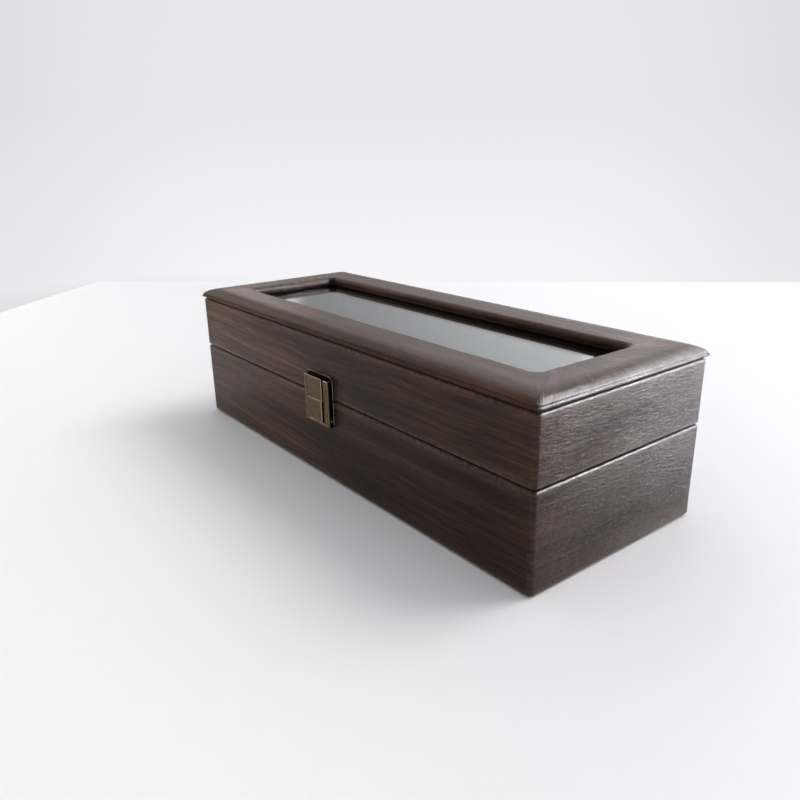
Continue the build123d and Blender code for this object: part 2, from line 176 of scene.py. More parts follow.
def makeLeatherette():
    material, tree, shader = newMaterial("walnutLeatherette")
    run = add(tree, "UVMap", uv_map="grainRun").outputs[0]  # metres along and across the grain
    spot = add(tree, "SeparateXYZ", {0: add(tree, "TexCoord").outputs["Object"]})
    edge = add(tree, "Attribute", attribute_name="edgeWear").outputs["Fac"]

    sway = noiseOn(tree, run, *leather["sway"])
    drift = calc(tree, "MULTIPLY_ADD", sway, leather["grainSway"], -leather["grainSway"] / 2)
    shift = add(tree, "CombineXYZ", {1: drift}).outputs[0]
    grain = add(tree, "VectorMath", {0: run, 1: shift}, operation="ADD").outputs[0]
    bands = noiseOn(tree, grain, *leather["bands"])
    streaks = noiseOn(tree, grain, *leather["streaks"])
    fibres = noiseOn(tree, grain, *leather["fibres"])
    cast = noiseOn(tree, run, *leather["cast"])

    bandShare, streakShare, fibreShare = leather["grainShares"]
    fine = calc(tree, "MULTIPLY", fibres, fibreShare)
    fine = calc(tree, "MULTIPLY_ADD", streaks, streakShare, fine)
    tone = calc(tree, "MULTIPLY_ADD", bands, bandShare, fine)
    colour = ramp(tree, tone, leather["tones"])
    colour = blendColours(tree, "MULTIPLY", 1.0, colour, ramp(tree, cast, leather["castStops"]))
    # painted light and shade: the colour is made paler about one end of the front and darker low down
    pale = paintedGlowAndShade(tree, run, spot)
    grey = add(tree, "CombineXYZ", {0: pale, 1: pale, 2: pale}).outputs[0]
    colour = blendColours(tree, "MULTIPLY", 1.0, colour, grey)
    rubs = ramp(tree, noiseOn(tree, run, *leather["rubs"]), leather["rubStops"])
    colour = blendColours(tree, "MIX", calc(tree, "MULTIPLY", edge, rubs), colour, leather["worn"])

    skin = relief(tree, noiseOn(tree, run, *leather["peel"]), leather["peelDepth"])
    skin = relief(tree, leatherCreases(tree, run, spot), leather["creaseDepth"], skin)
    grooves = calc(tree, "ADD", streaks, calc(tree, "MULTIPLY", fibres, leather["fibreLift"]))
    skin = relief(tree, grooves, leather["grooveDepth"], skin)
    pebbles = cellsOn(tree, run, leather["pebbles"], "SMOOTH_F1")
    skin = relief(tree, pebbles, leather["pebbleDepth"], skin)

    matt = calc(tree, "MULTIPLY_ADD", cast, leather["castGloss"], leather["roughness"])
    matt = calc(tree, "MULTIPLY_ADD", streaks, leather["streakGloss"], matt)
    rubbed = calc(tree, "MULTIPLY_ADD", edge, leather["edgeCoat"], leather["coat"])
    wire(tree, shader, Base_Color=colour, Roughness=matt, Normal=skin)
    wire(tree, shader, IOR=leather["index"], Specular_IOR_Level=leather["specular"])
    wire(tree, shader, Coat_Weight=rubbed, Coat_Roughness=leather["coatRoughness"], Coat_Normal=skin)
    wire(tree, shader, Sheen_Weight=leather["bloom"], Sheen_Roughness=leather["bloomRoughness"])
    wire(tree, shader, Specular_Tint=(*leather["glossTint"], 1), Sheen_Tint=(*leather["bloomTint"], 1))
    return material


def paintedGlowAndShade(tree, run, spot):  # painted light and shade: a broad painted glow about one end of the front, and painted shade low down
    around = add(tree, "SeparateXYZ", {0: run}).outputs[0]
    away = calc(tree, "ABSOLUTE", calc(tree, "SUBTRACT", around, leather["paintedGlowPeak"]))
    low, high = leather["paintedGlowRange"]
    pale = fade(tree, away, 0.0, leather["paintedGlowReach"], high, low, soft=True)
    return calc(tree, "MULTIPLY", pale, fade(tree, spot.outputs[2], *leather["paintedShadeLow"]))


def leatherCreases(tree, run, spot):  # fine ridges, stronger where the sheet is pulled round the ends
    creases = noiseOn(tree, run, *leather["creases"])
    creases = calc(tree, "ABSOLUTE", calc(tree, "MULTIPLY_ADD", creases, 2.0, -1.0))
    creases = calc(tree, "MINIMUM", calc(tree, "MULTIPLY", creases, leather["creaseGain"]), 1.0)
    pulled = fade(tree, facingShare(tree, 0), *leather["endShare"])
    patches = ramp(tree, noiseOn(tree, run, *leather["patches"]), leather["patchStops"])
    drier = fade(tree, spot.outputs[1], *leather["backShare"])
    higher = fade(tree, spot.outputs[2], *leather["topShare"])
    share = calc(tree, "MULTIPLY", patches, calc(tree, "MULTIPLY", drier, higher))
    return calc(tree, "MULTIPLY", creases, calc(tree, "MULTIPLY", pulled, share))


# Cloth, board and foam

velvet = {
    "lining": (0.010, 0.010, 0.0115), "liningSheen": 0.45,
    "pillow": (0.016, 0.0158, 0.018), "pillowSheen": 0.6,
    "brushed": ((70, 70, 45), 3, 0.5, 0.8), "brushedStops": ((0.38, 0.0), (0.66, 1.0)), "brushedLift": 2.1,
    "nap": ((3800, 3800, 3000), 2, 0.7), "napStops": ((0.25, 0.35), (0.75, 1.3)), "napShare": 0.7,
    "brushDepth": 0.5 * mm, "napDepth": 0.10 * mm, "roughness": 0.88, "specular": 0.2,
    "sheenTint": (0.62, 0.62, 0.68), "sheenRoughness": 0.34,
}


def makeVelvet(name, base, sheen):
    material, tree, shader = newMaterial(name)
    place = add(tree, "TexCoord").outputs["Object"]
    brushed = noiseOn(tree, place, *velvet["brushed"])
    nap = noiseOn(tree, place, *velvet["nap"])
    lighter = tuple(value * velvet["brushedLift"] for value in base)
    colour = blendColours(tree, "MIX", ramp(tree, brushed, velvet["brushedStops"]), base, lighter)
    shade = ramp(tree, nap, velvet["napStops"])
    colour = blendColours(tree, "MULTIPLY", velvet["napShare"], colour, shade)
    fur = relief(tree, nap, velvet["napDepth"], relief(tree, brushed, velvet["brushDepth"]))
    wire(tree, shader, Base_Color=colour, Roughness=velvet["roughness"], Normal=fur)
    wire(tree, shader, Sheen_Weight=sheen, Sheen_Roughness=velvet["sheenRoughness"])
    wire(tree, shader, Specular_IOR_Level=velvet["specular"], Sheen_Tint=(*velvet["sheenTint"], 1))
    return material


board = {
    "tones": ((0.32, (0.20, 0.13, 0.075)), (0.5, (0.33, 0.225, 0.135)), (0.7, (0.45, 0.33, 0.215))),
    "flecks": ((900, 900, 900), 4, 0.7), "fleckDepth": 0.06 * mm, "roughness": (0.2, 0.68),  # change, least
    "cloud": ((60, 60, 60), 3), "cloudStops": ((0.3, 0.7), (0.7, 1.1)), "cloudShare": 0.5, "darkTone": 0.05,
}


def makeFibreboard(name, share=1.0):
    material, tree, shader = newMaterial(name)
    place = add(tree, "TexCoord").outputs["Object"]
    flecks = noiseOn(tree, place, *board["flecks"])
    cloud = ramp(tree, noiseOn(tree, place, *board["cloud"]), board["cloudStops"])
    tones = [(stop, tuple(value * share for value in tone)) for stop, tone in board["tones"]]
    colour = ramp(tree, flecks, tones)
    colour = blendColours(tree, "MULTIPLY", board["cloudShare"], colour, cloud)
    matt = calc(tree, "MULTIPLY_ADD", flecks, *board["roughness"])
    wire(tree, shader, Base_Color=colour, Roughness=matt, Normal=relief(tree, flecks, board["fleckDepth"]))
    return material


feltCloth = {
    "tones": ((0.3, (0.010, 0.010, 0.010)), (0.55, (0.022, 0.021, 0.021)), (0.75, (0.05, 0.049, 0.048))),
    "hairs": ((1500, 1500, 1500), 5, 0.72, 1.2), "hairDepth": 0.16 * mm,
    "cloud": ((140, 140, 140), 3), "cloudStops": ((0.3, 0.6), (0.7, 1.25)), "cloudShare": 0.5,
    "roughness": 0.95, "sheen": 0.25, "sheenRoughness": 0.5, "specular": 0.2,
}


def makeFelt():
    material, tree, shader = newMaterial("pressedFelt")
    place = add(tree, "TexCoord").outputs["Object"]
    hairs = noiseOn(tree, place, *feltCloth["hairs"])
    cloud = ramp(tree, noiseOn(tree, place, *feltCloth["cloud"]), feltCloth["cloudStops"])
    colour = ramp(tree, hairs, feltCloth["tones"])
    colour = blendColours(tree, "MULTIPLY", feltCloth["cloudShare"], colour, cloud)
    fuzz = relief(tree, hairs, feltCloth["hairDepth"])
    wire(tree, shader, Base_Color=colour, Roughness=feltCloth["roughness"], Normal=fuzz)
    wire(tree, shader, Sheen_Weight=feltCloth["sheen"], Sheen_Roughness=feltCloth["sheenRoughness"])
    wire(tree, shader, Specular_IOR_Level=feltCloth["specular"])
    return material


foam = {
    "tones": ((0.1, (0.36, 0.34, 0.27)), (0.6, (0.66, 0.64, 0.55))), "roughness": 0.9,
    "cells": (1400, 1400, 1400), "cellDepth": 0.2 * mm,
    "cloud": ((80, 80, 80), 3), "cloudStops": ((0.3, 0.8), (0.7, 1.05)), "cloudShare": 0.5,
}


def makeFoam():
    material, tree, shader = newMaterial("padFoam")
    place = add(tree, "TexCoord").outputs["Object"]
    cells = cellsOn(tree, place, foam["cells"])
    cloud = ramp(tree, noiseOn(tree, place, *foam["cloud"]), foam["cloudStops"])
    colour = blendColours(tree, "MULTIPLY", foam["cloudShare"], ramp(tree, cells, foam["tones"]), cloud)
    pores = relief(tree, cells, foam["cellDepth"])
    wire(tree, shader, Base_Color=colour, Roughness=foam["roughness"], Normal=pores)
    return material


card = {
    "tones": ((0.3, (0.035, 0.035, 0.036)), (0.7, (0.075, 0.074, 0.073))),
    "pulp": ((700, 900, 900), 5, 0.7), "pulpDepth": 0.03 * mm, "roughness": (0.15, 0.75),  # change, least
}


def makeCard():
    material, tree, shader = newMaterial("greyCard")
    place = add(tree, "TexCoord").outputs["Object"]
    pulp = noiseOn(tree, place, *card["pulp"])
    colour = ramp(tree, pulp, card["tones"])
    matt = calc(tree, "MULTIPLY_ADD", pulp, *card["roughness"])
    wire(tree, shader, Base_Color=colour, Roughness=matt, Normal=relief(tree, pulp, card["pulpDepth"]))
    return material


# Metal and glass

brass = {
    "patinaAndShade": (0.012, 0.0085, 0.0055), "darkTone": (0.042, 0.027, 0.0125), "face": (0.122, 0.080, 0.038),
    "bright": (0.195, 0.133, 0.070), "rub": (0.60, 0.50, 0.36), "edge": (0.95, 0.86, 0.70),
    "corner": (0.135, 0.108, 0.072), "brushDepth": 0.012 * mm,
    # how far a face looks to the front where its tone changes: side to edge, and edge to face; the sides
    # take patina and painted shade
    "sideToEdge": (0.35, 0.52), "edgeToFace": (0.90, 0.985),
    "endRange": (0.25, 0.45),  # how far an edge looks up or down
    "faceStreaks": ((9000, 9000, 220), 4, 0.65), "evenStreaks": ((1500, 1500, 1500), 4, 0.65),
    "spots": ((420, 420, 300), 4, 0.6, 0.7), "lineShare": 0.55, "spotShare": 0.45,
    "faceRoughness": (0.30, 0.52), "darkRoughness": (0.36, 0.55), "wornRoughness": (0.34, 0.50),
}


def makeBrass(name, stops, roughness, streak, rubbed=None):  # rubbed: front faces, or ends, stay bright; the rest take patina and painted shade
    material, tree, shader = newMaterial(name)
    place = add(tree, "TexCoord").outputs["Object"]
    lines = noiseOn(tree, place, *streak)
    spots = calc(tree, "MULTIPLY", noiseOn(tree, place, *brass["spots"]), brass["spotShare"])
    tone = calc(tree, "MULTIPLY_ADD", lines, brass["lineShare"], spots)
    colour = ramp(tree, tone, stops)
    low, high = roughness
    matt = calc(tree, "MULTIPLY_ADD", tone, high - low, low)
    # painted shade: edges that look sideways take patina and painted shade, edges that look up or down keep
    # their tone
    if rubbed == "ends":
        ends = fade(tree, facingShare(tree, 2), *brass["endRange"])
        colour = blendColours(tree, "MIX", ends, brass["patinaAndShade"], colour)
    # painted shade: faces turned away from the front take patina and painted shade, rounded corners the
    # corner tone
    if rubbed == "faces":
        across = facingShare(tree, 1)
        flat = fade(tree, across, *brass["edgeToFace"])
        colour = blendColours(tree, "MIX", flat, brass["corner"], colour)
        front = fade(tree, across, *brass["sideToEdge"])
        colour = blendColours(tree, "MIX", front, brass["patinaAndShade"], colour)
    brushed = relief(tree, lines, brass["brushDepth"])
    wire(tree, shader, Base_Color=colour, Metallic=1.0, Roughness=matt, Normal=brushed)
    return material


steel = {
    "tones": ((0.3, (0.34, 0.34, 0.35)), (0.7, (0.60, 0.60, 0.60))),
    "lines": ((900, 3000, 3000), 3), "drawDepth": 0.01 * mm, "roughness": (0.2, 0.22),  # change, least
}


def makeSteel():
    material, tree, shader = newMaterial("springSteel")
    place = add(tree, "TexCoord").outputs["Object"]
    lines = noiseOn(tree, place, *steel["lines"])
    colour = ramp(tree, lines, steel["tones"])
    matt = calc(tree, "MULTIPLY_ADD", lines, *steel["roughness"])
    drawn = relief(tree, lines, steel["drawDepth"])
    wire(tree, shader, Base_Color=colour, Metallic=1.0, Roughness=matt, Normal=drawn)
    return material


glass = {
    "tint": (0.93, 0.965, 0.955), "shade": (0.86, 0.89, 0.88), "index": 1.5,
    "smears": ((30, 55, 10), 4, 0.6, 1.0), "smearDepth": 0.004 * mm,
}


def makeGlass():
    material, tree, shader = newMaterial("clearGlass")
    wire(tree, shader, Base_Color=(*glass["tint"], 1), IOR=glass["index"])
    wire(tree, shader, Transmission_Weight=1.0, Roughness=0.0)
    place = add(tree, "TexCoord").outputs["Object"]
    smears = noiseOn(tree, place, *glass["smears"])
    wire(tree, shader, Normal=relief(tree, smears, glass["smearDepth"]))
    through = add(tree, "BsdfTransparent", {0: (*glass["shade"], 1)}).outputs[0]  # lets light in
    asShadow = add(tree, "LightPath").outputs["Is Shadow Ray"]
    mixed = add(tree, "MixShader", {0: asShadow, 1: shader.outputs[0], 2: through}).outputs[0]
    tree.links.new(mixed, tree.nodes["Material Output"].inputs[0])
    return material


faceStops = ((0.34, brass["darkTone"]), (0.52, brass["face"]), (0.70, brass["bright"]))
# painted shade: dark tones for the latch parts that sit in shade
darkStops = ((0.36, brass["patinaAndShade"]), (0.80, brass["darkTone"]))
wornStops = ((0.30, brass["rub"]), (0.50, brass["edge"]))
leatherette = makeLeatherette()
liningVelvet = makeVelvet("liningVelvet", velvet["lining"], velvet["liningSheen"])
pillowVelvet = makeVelvet("pillowVelvet", velvet["pillow"], velvet["pillowSheen"])
fibreboard = makeFibreboard("fibreboard")
shadedGapBoard = makeFibreboard("shadedGapBoard", board["darkTone"])  # painted shade: the rails are darkened so the gap under the frame reads as shade
pressedFelt = makeFelt()
padFoam = makeFoam()
greyCard = makeCard()
agedBrassShadedSides = makeBrass("agedBrassShadedSides", faceStops, brass["faceRoughness"], brass["faceStreaks"], "faces")
# painted shade: the latch plates, hook and nails are darkened for the shade they sit in
darkBrass = makeBrass("darkBrass", darkStops, brass["darkRoughness"], brass["evenStreaks"])
wornBrass = makeBrass("wornBrass", wornStops, brass["wornRoughness"], brass["evenStreaks"])
endBrass = makeBrass("endBrass", wornStops, brass["wornRoughness"], brass["evenStreaks"], "ends")
springSteel = makeSteel()
clearGlass = makeGlass()
print("materials made")


# Helpers for shapes

def showMesh(name, mesh, material, body, stands=()):
    piece = bpy.data.objects.new(name, mesh)
    scene.collection.objects.link(piece)
    mesh.materials.append(material)
    mesh.polygons.foreach_set("use_smooth", [True] * len(mesh.polygons))
    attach(piece, body)
    if stands:
        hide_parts(*stands)
    return piece


def pieceName(node):  # latch_lid_plate becomes latchLidPlate
    return "".join(word.capitalize() if i else word for i, word in enumerate(node.split("_")))


def ringOutline(halfX, halfY, radius, steps):  # from the middle of the back, round by left, front and right
    alongX, alongY, aroundCorner = steps
    flatX, flatY, half = halfX - radius, halfY - radius, alongX // 2
    points = [(-flatX * i / half, halfY) for i in range(half)]
    sides = (
        ((-flatX, flatY), 90, (-halfX, flatY), (0, -1), 2 * flatY, alongY),
        ((-flatX, -flatY), 180, (-flatX, -halfY), (1, 0), 2 * flatX, alongX),
        ((flatX, -flatY), 270, (halfX, -flatY), (0, 1), 2 * flatY, alongY),
        ((flatX, flatY), 0, (flatX, halfY), (-1, 0), flatX, half),
    )
    for centre, start, first, way, length, count in sides:
        for i in range(aroundCorner):
            angle = radians(start + 90 * i / aroundCorner)
            points.append((centre[0] + radius * cos(angle), centre[1] + radius * sin(angle)))
        for i in range(count):
            points.append((first[0] + way[0] * length * i / count, first[1] + way[1] * length * i / count))
    return points


def runLengths(points):
    total, lengths = 0.0, [0.0]
    for a, b in zip(points, points[1:] + points[:1]):
        total += (Vector(b) - Vector(a)).length
        lengths.append(total)
    return lengths


def flatOutlines(loops, across, middle, steps):  # the section unrolled flat from its middle loop
    hx, hy, r = loops[middle][:3]
    reaches = [across[middle] - across[j] for j in range(len(loops))]
    return [ringOutline(hx + reach, hy + reach, max(r + reach, 0.1), steps) for reach in reaches]


# Loops are (halfX, halfY, cornerRadius, z, wear) in millimetres, round a closed section
def loftRing(name, loops, steps, material, body, stands=(), middle=None, lighterCorners=0.0):
    outlines = [ringOutline(hx, hy, r, steps) for hx, hy, r, z, wear in loops]
    across = runLengths([(hx - loops[0][0], z) for hx, hy, r, z, wear in loops])
    around = runLengths(ringOutline(*loops[0][:3], steps))
    count, rows = len(outlines[0]), len(loops)
    joint = count - steps[0] // 2  # the sheet's two ends meet at a back corner
    verts = [(x * mm, y * mm, loop[3] * mm) for outline, loop in zip(outlines, loops) for x, y in outline]
    flats = flatOutlines(loops, across, middle, steps) if middle is not None else None
    faces, uvs = [], []
    for j in range(rows):
        k = (j + 1) % rows
        for i in range(count):
            n = (i + 1) % count
            faces.append((j * count + i, j * count + n, k * count + n, k * count + i))
            if flats:
                uvs += [flats[j][i], flats[j][n], flats[k][n], flats[k][i]]
            else:
                back = around[count] if i >= joint else 0.0
                start, end = around[i] - back, around[i + 1] - back
                uvs += [(start, across[j]), (end, across[j]), (end, across[j + 1]), (start, across[j + 1])]
    mesh = bpy.data.meshes.new(name)
    mesh.from_pydata(verts, [], faces)
    layer = mesh.uv_layers.new(name="grainRun")
    layer.data.foreach_set("uv", [value * mm for pair in uvs for value in pair])
    wear = []
    for outline, (hx, hy, r, z, worn) in zip(outlines, loops):
        # the rounded upright corners take a share of the lighter, glossier edge tone
        wear += [max(worn, lighterCorners * (abs(x) > hx - r and abs(y) > hy - r)) for x, y in outline]
    mesh.attributes.new("edgeWear", "FLOAT", "POINT").data.foreach_set("value", wear)
    work = bmesh.new()
    work.from_mesh(mesh)
    bmesh.ops.recalc_face_normals(work, faces=work.faces)
    work.to_mesh(mesh)
    work.free()
    return showMesh(name, mesh, material, body, stands)


def evenShading(piece):
    modifier = piece.modifiers.new("evenShading", "WEIGHTED_NORMAL")
    modifier.weight, modifier.keep_sharp = 80, False


def quarter(insetFrom, zFrom, insetTo, zTo, count, bulgeFirst):  # a quarter round between two section points
    points = []
    for i in range(count + 1):
        angle = pi / 2 * i / count
        a, b = (1 - cos(angle), sin(angle)) if bulgeFirst else (sin(angle), 1 - cos(angle))
        points.append((insetFrom + (insetTo - insetFrom) * a, zFrom + (zTo - zFrom) * b))
    return points


# Leatherette skins round the two halves, in millimetres

skins = {
    "half": (136.0, 52.0), "corner": 2.2, "cornerShrink": 0.6, "leastCorner": 0.4, "thick": 0.8,
    "rimRound": 0.95, "footRound": 1.2, "turnStarts": 0.6, "steps": (48, 24, 10), "roundSteps": 6,
    "rimWear": 1.0, "nearWear": 0.25, "turnWear": 0.1, "lighterCorners": 0.45, "wearEnds": (0.8, 3.5),
    "base": {"z": (0.6, 43.2), "turnIn": (12.0, 6.8)}, "lid": {"z": (44.0, 72.6), "turnIn": (6.5, 6.5)},
}


def makeSkin(half, name, lowRound):
    lowZ, highZ = skins[half]["z"]
    turnLow, turnHigh = skins[half]["turnIn"]
    thick, rim, count = skins["thick"], skins["rimRound"], skins["roundSteps"]
    full, some, little = skins["rimWear"], skins["nearWear"], skins["turnWear"]
    near, far = skins["wearEnds"]
    start = skins["turnStarts"]
    section = [(inset, z, full) for inset, z in quarter(lowRound, lowZ, 0, lowZ + lowRound, count, False)]
    section += [(0, lowZ + lowRound + near, some), (0, lowZ + lowRound + far, 0.0)]
    section += [(0, highZ - rim - far, 0.0), (0, highZ - rim - near, some)]
    section += [(inset, z, full) for inset, z in quarter(0, highZ - rim, rim, highZ, count, True)]
    section += [(rim + start, highZ, little), (turnHigh, highZ, 0.0)]
    section += [(turnHigh, highZ - thick, 0.0), (thick, highZ - thick, 0.0)]
    section += [(thick, lowZ + thick, 0.0), (turnLow, lowZ + thick, 0.0)]
    section += [(turnLow, lowZ, 0.0), (lowRound + start, lowZ, little)]
    hx, hy = skins["half"]
    loops = []
    for inset, z, wear in section:
        corner = max(skins["corner"] - inset * skins["cornerShrink"], skins["leastCorner"])
        loops.append((hx - inset, hy - inset, corner, z, wear))
    stands, steps, wear = (half + "_skin",), skins["steps"], skins["lighterCorners"]
    piece = loftRing(name, loops, steps, leatherette, half, stands, lighterCorners=wear)
    evenShading(piece)


makeSkin("base", "baseSkin", skins["footRound"])
makeSkin("lid", "lidSkin", skins["rimRound"])
print("skins made")


# Padded top frame, in millimetres

top = {
    "outer": (137.0, 53.0), "inner": (114.0, 28.5), "low": 73.7, "high": 78.52, "thick": 0.55,
    "outerCorner": 2.4, "windowCorner": 3.5, "middleCorner": 5.5, "cornerGrowth": (0.15, 0.7),
    "turnUnder": 2.4, "lipIn": 1.3, "lipHeight": 0.45, "lipWear": 0.2,
    "hem": {"rise": 1.05, "width": 0.5, "depth": 0.60}, "shoulder": (9.5, 4.5),
    "crown": ((0.52, 0.0), (0.66, 0.05)),  # share of the way to the window, drop
    "roll": (3.2, 3.2), "rollDrop": 0.22, "rollWear": 0.25, "rollWorn": (4, 7),
    "steps": (144, 72, 12), "roundSteps": (6, 26, 10),
    "sag": 0.12, "sagStarts": 1.6, "sagFull": 1.5, "sagLift": 0.75,
    "dents": (42, 120), "closeShare": 0.5, "dentsAside": (3, 1, 2),
}
padding = {  # side of the frame, distance from it, height
    "loops": (
        ("outer", 2.45, 74.3), ("outer", 0.95, 74.3), ("outer", 1.0, 74.9), ("outer", 3.1, 76.3),
        ("outer", 6.7, 77.25), ("middle", 0.5, 77.6), ("inner", 4.6, 77.3), ("inner", 2.0, 76.4),
        ("inner", 0.95, 75.2), ("inner", 0.95, 74.3), ("inner", 2.35, 74.3), ("inner", 2.35, 76.65),
        ("outer", 2.45, 76.65),
    ),
    "steps": (24, 12, 4), "fill": 0.9,
}


def frameLoop(side, distance, z, wear=0.0):
    (ox, oy), (ix, iy) = top["outer"], top["inner"]
    outerGrowth, windowGrowth = top["cornerGrowth"]
    if side == "outer":
        return (ox - distance, oy - distance, top["outerCorner"] + distance * outerGrowth, z, wear)
    if side == "inner":
        return (ix + distance, iy + distance, top["windowCorner"] + distance * windowGrowth, z, wear)
    return (ox + (ix - ox) * distance, oy + (iy - oy) * distance, top["middleCorner"], z, wear)


def makeFrameCover():
    low, high, under = top["low"], top["high"], top["turnUnder"]
    lip, inside = low + top["lipHeight"], low + top["thick"]
    shoulderIn, shoulderUp = top["shoulder"]
    rollIn, rollUp = top["roll"]
    lipSteps, shoulderSteps, rollSteps = top["roundSteps"]
    hem, rollTop = top["hem"], high - top["rollDrop"]
    firstWorn, lastWorn = top["rollWorn"]
    loops = [frameLoop("outer", under, low)]
    for inset, z in quarter(top["lipIn"], low, 0, lip, lipSteps, False)[:-1]:
        loops.append(frameLoop("outer", inset, z, top["lipWear"]))
    for inset, z in quarter(0, lip, shoulderIn, lip + shoulderUp, shoulderSteps, True):
        close = max(0.0, 1 - abs(z - lip - hem["rise"]) / hem["width"])  # to the pressed line over the hem
        loops.append(frameLoop("outer", inset + hem["depth"] * close ** 2, z))
    middle = len(loops)
    loops += [frameLoop("middle", share, high - drop) for share, drop in top["crown"]]
    for i, (offset, z) in enumerate(quarter(rollIn, rollTop, 0, rollTop - rollUp, rollSteps, False)):
        wear = top["rollWear"] if firstWorn <= i <= lastWorn else 0.0
        loops.append(frameLoop("inner", offset, z, wear))
    underside = (  # side of the frame, distance from it, height
        ("inner", 0.0, low + 0.4), ("inner", 0.35, low), ("inner", under, low), ("inner", under, inside),
        ("inner", 0.8, inside), ("inner", 0.8, 75.6), ("inner", 4.4, 77.5), ("middle", 0.5, 77.75),
        ("outer", 6.6, 77.35), ("outer", 3.0, 76.4), ("outer", 0.9, 74.95), ("outer", 0.8, inside),
        ("outer", under, inside),
    )
    loops += [frameLoop(*place) for place in underside]
    stands = ("frame_cover",)
    piece = loftRing("frameCover", loops, top["steps"], leatherette, "lid", stands, middle)
    broad, near = top["dents"]
    for vertex in piece.data.vertices:  # foam gives a little under the skin
        if vertex.co.z > (low + top["sagStarts"]) * mm:
            aside = vertex.co * near + Vector(top["dentsAside"])
            soft = noise.noise(vertex.co * broad) + top["closeShare"] * noise.noise(aside)
            share = min((vertex.co.z / mm - low - top["sagStarts"]) / top["sagFull"], 1)
            vertex.co.z += top["sag"] * mm * (soft - top["sagLift"]) * share


def makeFramePadding():
    loops = [frameLoop(*place) for place in padding["loops"]]
    piece = loftRing("framePadding", loops, padding["steps"], padFoam, "lid", ("frame_padding",))


makeFrameCover()
makeFramePadding()
print("padded frame made")


# Velvet panels and felt

panels = {"edge": 0.5 * mm, "dividerEdge": 1.4 * mm, "segments": 4, "profile": 0.6, "mostOfSide": 0.45}
liningFrame = {
    "outer": (129.4, 45.4), "inner": (115.0, 29.5), "z": (69.4, 70.8), "edge": 0.65, "tuck": 0.2,
    "corner": 3.5, "upperCorner": 4.1, "outerCorner": 0.6, "steps": (24, 12, 6), "roundSteps": 4,
}
felt = {
    "half": (133.5, 49.5), "corner": 2.2, "z": (0.0, 0.6), "steps": (24, 12, 6),
    "edge": 0.12, "pinch": 0.9975,
}


def softPanel(node, edge, material, body):
    low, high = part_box(node)
    size = high - low
    width = min(edge, min(size) * panels["mostOfSide"])
    work = bmesh.new()
    bmesh.ops.create_cube(work, size=1.0)
    bmesh.ops.scale(work, vec=size, verts=work.verts)
    bmesh.ops.translate(work, vec=(low + high) / 2, verts=work.verts)
    shape = {"segments": panels["segments"], "profile": panels["profile"], "affect": "EDGES"}
    bmesh.ops.bevel(work, geom=work.edges[:], offset=width, **shape)
    mesh = bpy.data.meshes.new(node + "Velvet")
    work.to_mesh(mesh)
    work.free()
    piece = showMesh(pieceName(node) + "Panel", mesh, material, body, (node,))
    evenShading(piece)


def makeLiningFrame():
    (ox, oy), (ix, iy), (low, high) = liningFrame["outer"], liningFrame["inner"], liningFrame["z"]
    r, corner, outerCorner, tuck = (liningFrame[key] for key in ("edge", "corner", "outerCorner", "tuck"))
    count = liningFrame["roundSteps"]
    loops = [(ox, oy, outerCorner, low + tuck, 0), (ox, oy, outerCorner, high, 0)]
    loops += [(ix + r, iy + r, liningFrame["upperCorner"], high, 0)]
    rounds = quarter(r, high, 0, high - r, count, False)[1:] + quarter(0, low + r, r, low, count, True)
    loops += [(ix + off, iy + off, corner + off, z, 0) for off, z in rounds]
    loops += [(ox - tuck, oy - tuck, outerCorner, low, 0)]
    stands = ("lid_lining_frame",)
    loftRing("liningFrame", loops, liningFrame["steps"], liningVelvet, "lid", stands)


def makeUndersideFelt():
    hx, hy = felt["half"]
    low, high = felt["z"]
    outline = ringOutline(hx, hy, felt["corner"], felt["steps"])
    edge, pinch = felt["edge"], felt["pinch"]
    levels = ((pinch, high), (1, high - edge), (1, low + edge), (pinch, low))
    work = bmesh.new()
    rows = [[work.verts.new((x * k * mm, y * k * mm, z * mm)) for x, y in outline] for k, z in levels]
    for a, b in zip(rows, rows[1:]):
        for i in range(len(outline)):
            n = (i + 1) % len(outline)
            work.faces.new((a[i], b[i], b[n], a[n]))
    work.faces.new(rows[0])
    work.faces.new(reversed(rows[-1]))
    bmesh.ops.recalc_face_normals(work, faces=work.faces)
    mesh = bpy.data.meshes.new("undersideFelt")
    work.to_mesh(mesh)
    work.free()
    piece = showMesh("undersideFelt", mesh, pressedFelt, "base", ("underside_felt",))
    evenShading(piece)


for half in ("base", "lid"):
    for wall in ("front", "back", "left", "right"):
        softPanel(f"{half}_{wall}_lining", panels["edge"], liningVelvet, half)
softPanel("base_floor_lining", panels["edge"], liningVelvet, "base")
for number in range(1, 5):
    softPanel(f"divider_{number}", panels["dividerEdge"], liningVelvet, "base")
makeLiningFrame()
makeUndersideFelt()
print("velvet and felt made")


# Pillows

pillows = {
    "count": 5, "shrink": 0.93, "voxel": 4.2 * mm, "pressure": 3.6, "pressureStep": 0.25, "frames": 20,
    "cap": 3.2 * mm, "tension": 12, "bending": 0.6, "quality": 5, "fill": 0.8,
    "seamInset": 3.4 * mm, "seamWidth": 1.6 * mm, "seamDepth": 0.75 * mm,
    "pucker": 0.35 * mm, "puckerScale": 260, "puckerReach": 8 * mm, "finer": 2,
}


def bakeModifiers(piece):
    evaluated = piece.evaluated_get(bpy.context.evaluated_depsgraph_get())
    mesh = bpy.data.meshes.new_from_object(evaluated)
    piece.modifiers.clear()
    piece.data = mesh


def fitInto(piece, low, high):  # keeps the stuffed shape inside the room it has
    points = [vertex.co for vertex in piece.data.vertices]
    least = Vector([min(p[axis] for p in points) for axis in range(3)])
    most = Vector([max(p[axis] for p in points) for axis in range(3)])
    middle, size = (low + high) / 2, high - low
    share = [min(1.0, size[axis] / (most[axis] - least[axis])) for axis in range(3)]
    shift = (least + most) / 2
    for vertex in piece.data.vertices:
        spot = vertex.co
        vertex.co = Vector([middle[axis] + (spot[axis] - shift[axis]) * share[axis] for axis in range(3)])


